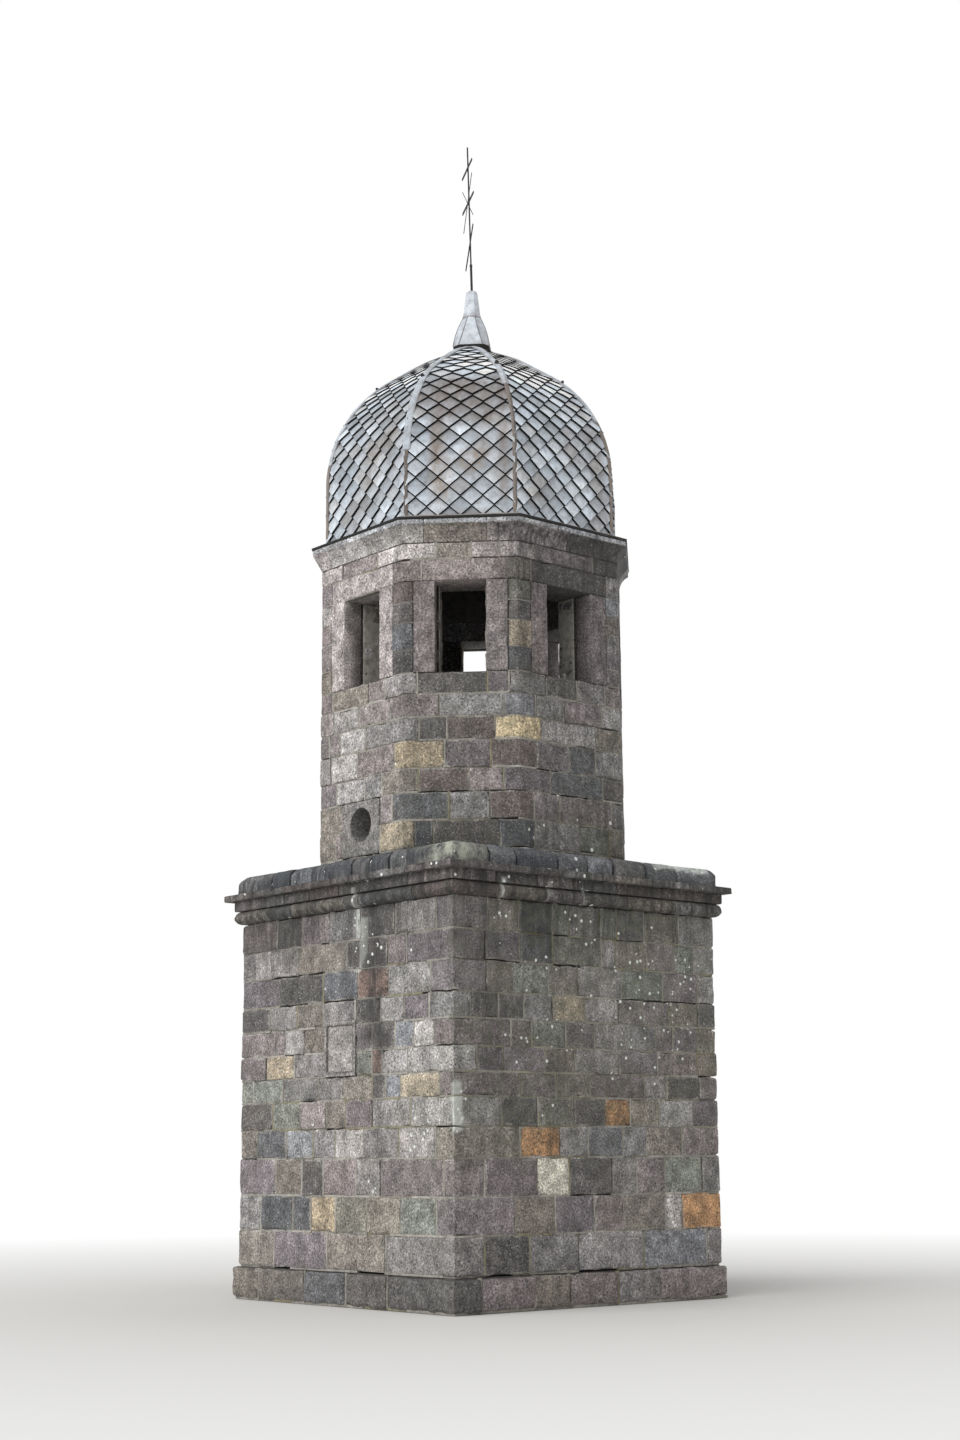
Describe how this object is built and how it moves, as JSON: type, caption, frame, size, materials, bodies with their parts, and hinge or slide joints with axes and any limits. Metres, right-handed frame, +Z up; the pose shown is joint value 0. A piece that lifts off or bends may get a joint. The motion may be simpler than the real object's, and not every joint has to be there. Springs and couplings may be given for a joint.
{
  "type": "stone bell tower",
  "caption": "Small stone bell tower with a square base, an eight-sided belfry open through a window in every face, a metal-shingled ribbed dome and a three-barred cross.",
  "frame": {"origin": "centre of the tower's footprint at ground level, on the underside of the footing", "axes": "+Z up; -Y is the front, the right-hand face in the picture; -X is the left side, which has the tablet and the round opening"},
  "size_m": [3.584, 3.584, 11.904],
  "materials": {
    "ashlar_stone": "rough",
    "dressed_stone": "fine tooled",
    "rubble_stone": "rough",
    "coping_stone": "weathered",
    "zinc_sheet": "weathered zinc",
    "iron": "rusted"
  },
  "bodies": {
    "root": {"footing_left": "rubble_stone", "footing_front": "rubble_stone", "footing_right": "rubble_stone", "footing_back": "rubble_stone", "base_wall_left": "ashlar_stone", "base_wall_front": "ashlar_stone", "base_wall_right": "ashlar_stone", "base_wall_back": "ashlar_stone", "base_cornice_left": "ashlar_stone", "base_cornice_front": "ashlar_stone", "base_cornice_right": "ashlar_stone", "base_cornice_back": "ashlar_stone", "coping_left": "coping_stone", "coping_front": "coping_stone", "coping_right": "coping_stone", "coping_back": "coping_stone", "wall_tablet": "dressed_stone", "belfry_floor": "rubble_stone", "belfry_wall_left": "ashlar_stone", "belfry_wall_front_left": "ashlar_stone", "belfry_wall_front": "ashlar_stone", "belfry_wall_front_right": "ashlar_stone", "belfry_wall_right": "ashlar_stone", "belfry_wall_back_right": "ashlar_stone", "belfry_wall_back": "ashlar_stone", "belfry_wall_back_left": "ashlar_stone", "oculus_stone": "dressed_stone", "belfry_piers_left": "ashlar_stone", "belfry_piers_front": "ashlar_stone", "belfry_piers_right": "ashlar_stone", "belfry_piers_back": "ashlar_stone", "side_window_jambs": "dressed_stone", "corner_window_jambs": "dressed_stone", "side_lintels": "dressed_stone", "corner_lintels": "dressed_stone", "side_eaves_cornice": "dressed_stone", "corner_eaves_cornice": "dressed_stone", "eaves_flashing": "zinc_sheet", "side_dome_gores": "zinc_sheet", "corner_dome_gores": "zinc_sheet", "dome_hip_strips": "zinc_sheet", "cap_skirt": "zinc_sheet", "cap_neck": "zinc_sheet", "cross_mast": "iron", "cross_bars_and_rays": "iron"}
  },
  "joints": []
}
